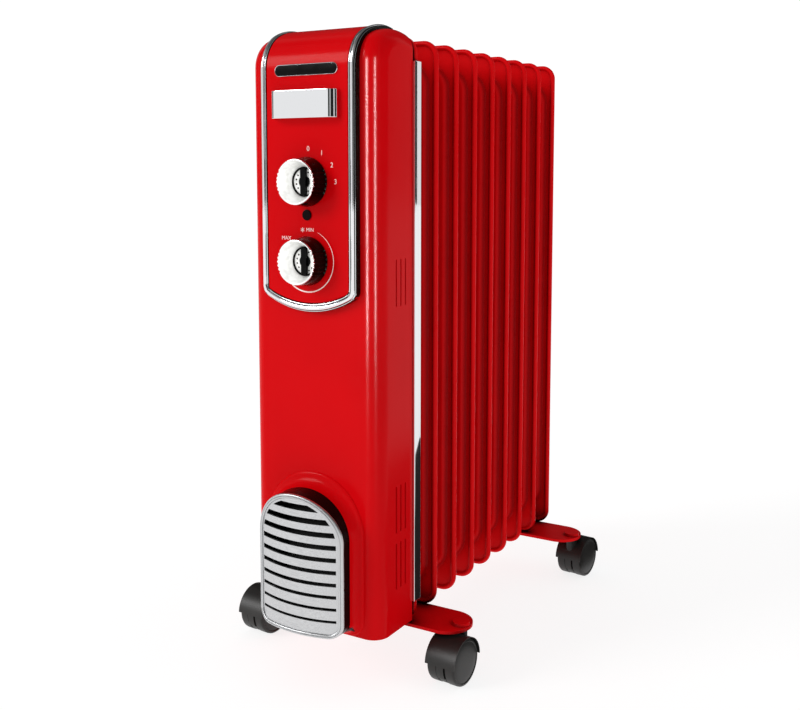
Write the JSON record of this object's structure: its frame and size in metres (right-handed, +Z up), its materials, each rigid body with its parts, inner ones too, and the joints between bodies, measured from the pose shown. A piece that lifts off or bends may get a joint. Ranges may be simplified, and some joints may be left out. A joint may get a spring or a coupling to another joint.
{
  "type": "oil filled radiator heater",
  "caption": "Portable oil filled radiator with a row of hollow steel fins, a tall control housing with two knobs, an arched grille and twin wheel casters.",
  "frame": {"origin": "on the floor, under the middle of the whole heater's box", "axes": "+Z up, the control panel faces -Y, the fins follow one another along +Y, X across the heater"},
  "size_m": [0.2739, 0.4632, 0.6428],
  "materials": {
    "fin_enamel": "stoved gloss enamel on pressed steel",
    "housing_gloss": "high gloss injection moulded plastic",
    "chrome_plate": "bright chrome plate",
    "brushed_grille": "satin brushed metal",
    "black_plastic": "semi gloss",
    "caster_nylon": "fine matt moulded texture",
    "zinc_steel": "zinc plated",
    "galvanised_sheet": "galvanised sheet",
    "gasket_rubber": "moulded rubber",
    "switch_body": "moulded thermoset",
    "lamp_red": "dark red lens",
    "neon_glass": "clear glass"
  },
  "bodies": {
    "root": {"fin_1": "fin_enamel", "fin_2": "fin_enamel", "fin_3": "fin_enamel", "fin_4": "fin_enamel", "fin_5": "fin_enamel", "fin_6": "fin_enamel", "fin_7": "fin_enamel", "fin_8": "fin_enamel", "fin_9": "fin_enamel", "lower_header_collars": "fin_enamel", "upper_header_collars": "fin_enamel", "heating_element": "zinc_steel", "element_gasket": "gasket_rubber", "filler_plug": "zinc_steel", "housing": "housing_gloss", "housing_back_plate": "galvanised_sheet", "housing_screws": "zinc_steel", "fascia": "housing_gloss", "chrome_trim": "chrome_plate", "badge_rim": "chrome_plate", "badge_plate": "black_plastic", "pull_grip": "chrome_plate", "lamp_lens": "lamp_red", "neon_lamp": "neon_glass", "selector_switch": "switch_body", "thermostat_switch": "switch_body", "grille_boss": "housing_gloss", "grille_rim": "brushed_grille", "grille_slats": "brushed_grille", "grille_backing": "black_plastic", "chrome_strips": "chrome_plate", "cord_gland": "black_plastic", "terminal_block": "switch_body", "thermal_cutout": "zinc_steel", "foot_plate_front": "fin_enamel", "foot_plate_rear": "fin_enamel", "foot_clamps": "zinc_steel", "caster_sleeves": "zinc_steel"},
    "selector_knob": {"selector_knob_cap": "chrome_plate", "selector_knob_insert": "black_plastic", "selector_shaft": "zinc_steel"},
    "thermostat_knob": {"thermostat_knob_cap": "chrome_plate", "thermostat_knob_insert": "black_plastic", "thermostat_shaft": "zinc_steel"},
    "caster_front_right": {"caster_hood_front_right": "caster_nylon", "caster_pins_front_right": "zinc_steel"},
    "wheel_front_right_1": {"wheel_front_right_1": "caster_nylon"},
    "wheel_front_right_2": {"wheel_front_right_2": "caster_nylon"},
    "caster_front_left": {"caster_hood_front_left": "caster_nylon", "caster_pins_front_left": "zinc_steel"},
    "wheel_front_left_1": {"wheel_front_left_1": "caster_nylon"},
    "wheel_front_left_2": {"wheel_front_left_2": "caster_nylon"},
    "caster_rear_right": {"caster_hood_rear_right": "caster_nylon", "caster_pins_rear_right": "zinc_steel"},
    "wheel_rear_right_1": {"wheel_rear_right_1": "caster_nylon"},
    "wheel_rear_right_2": {"wheel_rear_right_2": "caster_nylon"},
    "caster_rear_left": {"caster_hood_rear_left": "caster_nylon", "caster_pins_rear_left": "zinc_steel"},
    "wheel_rear_left_1": {"wheel_rear_left_1": "caster_nylon"},
    "wheel_rear_left_2": {"wheel_rear_left_2": "caster_nylon"}
  },
  "joints": [
    {"name": "selector_turn", "type": "hinge", "parent": "root", "child": "selector_knob", "pos_m": [0, -0.20563, 0.495], "axis": [0, 1, 0], "range_deg": [0, 90]},
    {"name": "thermostat_turn", "type": "hinge", "parent": "root", "child": "thermostat_knob", "pos_m": [0, -0.20563, 0.4203], "axis": [0, 1, 0], "range_deg": [0, 300]},
    {"name": "swivel_front_right", "type": "hinge", "parent": "root", "child": "caster_front_right", "pos_m": [0.1167, -0.10928, 0.05], "axis": [0, 0, 1], "continuous": true},
    {"name": "spin_front_right_1", "type": "hinge", "parent": "caster_front_right", "child": "wheel_front_right_1", "pos_m": [0.11561, -0.12484, 0.0235], "axis": [-0.9976, 0.0698, 0], "continuous": true},
    {"name": "spin_front_right_2", "type": "hinge", "parent": "caster_front_right", "child": "wheel_front_right_2", "pos_m": [0.11561, -0.12484, 0.0235], "axis": [-0.9976, 0.0698, 0], "continuous": true},
    {"name": "swivel_front_left", "type": "hinge", "parent": "root", "child": "caster_front_left", "pos_m": [-0.1167, -0.10928, 0.05], "axis": [0, 0, 1], "continuous": true},
    {"name": "spin_front_left_1", "type": "hinge", "parent": "caster_front_left", "child": "wheel_front_left_1", "pos_m": [-0.11779, -0.12484, 0.0235], "axis": [-0.9976, 0.0698, 0], "continuous": true},
    {"name": "spin_front_left_2", "type": "hinge", "parent": "caster_front_left", "child": "wheel_front_left_2", "pos_m": [-0.11779, -0.12484, 0.0235], "axis": [-0.9976, 0.0698, 0], "continuous": true},
    {"name": "swivel_rear_right", "type": "hinge", "parent": "root", "child": "caster_rear_right", "pos_m": [0.1167, 0.18962, 0.05], "axis": [0, 0, 1], "continuous": true},
    {"name": "spin_rear_right_1", "type": "hinge", "parent": "caster_rear_right", "child": "wheel_rear_right_1", "pos_m": [0.11833, 0.20513, 0.0235], "axis": [0.9945, -0.1045, 0], "continuous": true},
    {"name": "spin_rear_right_2", "type": "hinge", "parent": "caster_rear_right", "child": "wheel_rear_right_2", "pos_m": [0.11833, 0.20513, 0.0235], "axis": [0.9945, -0.1045, 0], "continuous": true},
    {"name": "swivel_rear_left", "type": "hinge", "parent": "root", "child": "caster_rear_left", "pos_m": [-0.1167, 0.18962, 0.05], "axis": [0, 0, 1], "continuous": true},
    {"name": "spin_rear_left_1", "type": "hinge", "parent": "caster_rear_left", "child": "wheel_rear_left_1", "pos_m": [-0.11507, 0.20513, 0.0235], "axis": [0.9945, -0.1045, 0], "continuous": true},
    {"name": "spin_rear_left_2", "type": "hinge", "parent": "caster_rear_left", "child": "wheel_rear_left_2", "pos_m": [-0.11507, 0.20513, 0.0235], "axis": [0.9945, -0.1045, 0], "continuous": true}
  ]
}
